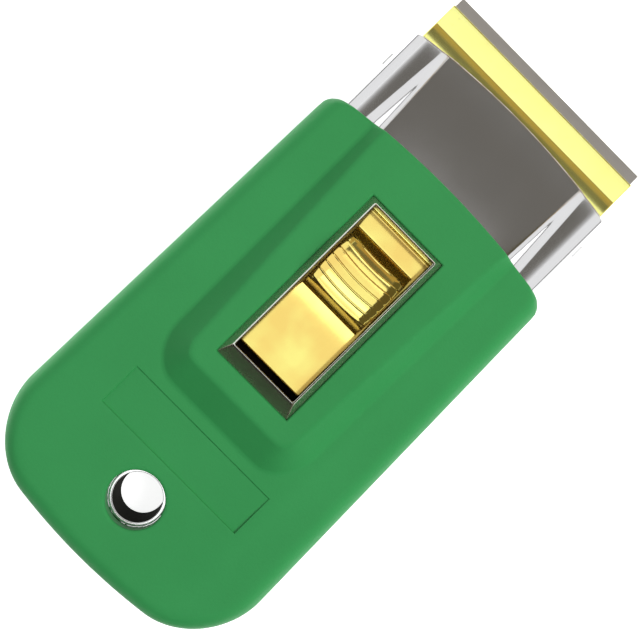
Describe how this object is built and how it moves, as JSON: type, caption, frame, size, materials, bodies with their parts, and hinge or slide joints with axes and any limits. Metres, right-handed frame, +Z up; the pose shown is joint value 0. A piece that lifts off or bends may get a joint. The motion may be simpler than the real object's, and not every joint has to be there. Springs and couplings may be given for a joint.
{
  "type": "razor blade scraper",
  "caption": "Flat pocket scraper: a moulded grip over a stamped case, with a sprung thumb latch that slides a single-edge razor blade out of the front and back in.",
  "frame": {"origin": "under the middle of the overall box, on the flat back that the tool lies on", "axes": "+X along the tool towards the blade edge, +Y across, +Z up out of the side with the thumb latch"},
  "size_m": [0.1006, 0.0484, 0.0152],
  "materials": {
    "grip": "matte, fine moulded grain",
    "case": "bright plated steel sheet",
    "frame": "bright plated steel sheet",
    "carrier": "polished sheet",
    "latch": "polished sheet",
    "rivet": "plain",
    "blade": "ground steel"
  },
  "bodies": {
    "handle": {"grip_sleeve": "grip", "case_top": "case", "case_bottom": "case", "window_frame": "frame", "hang_eyelet": "frame"},
    "carrier": {"carrier_base": "carrier", "upper_jaw": "carrier", "jaw_rivets": "rivet", "razor_blade": "blade", "blade_spine": "blade"},
    "latch": {"thumb_latch": "latch"}
  },
  "joints": [
    {"name": "carrier_slide", "type": "slide", "parent": "handle", "child": "carrier", "axis": [1, 0, 0], "range_m": [-0.01, 0]},
    {"name": "latch_press", "type": "hinge", "parent": "carrier", "child": "latch", "pos_m": [0.0173, 0, 0.00815], "axis": [0, -1, 0], "range_deg": [0, 4], "stiffness_Nm_per_rad": 0.8}
  ]
}
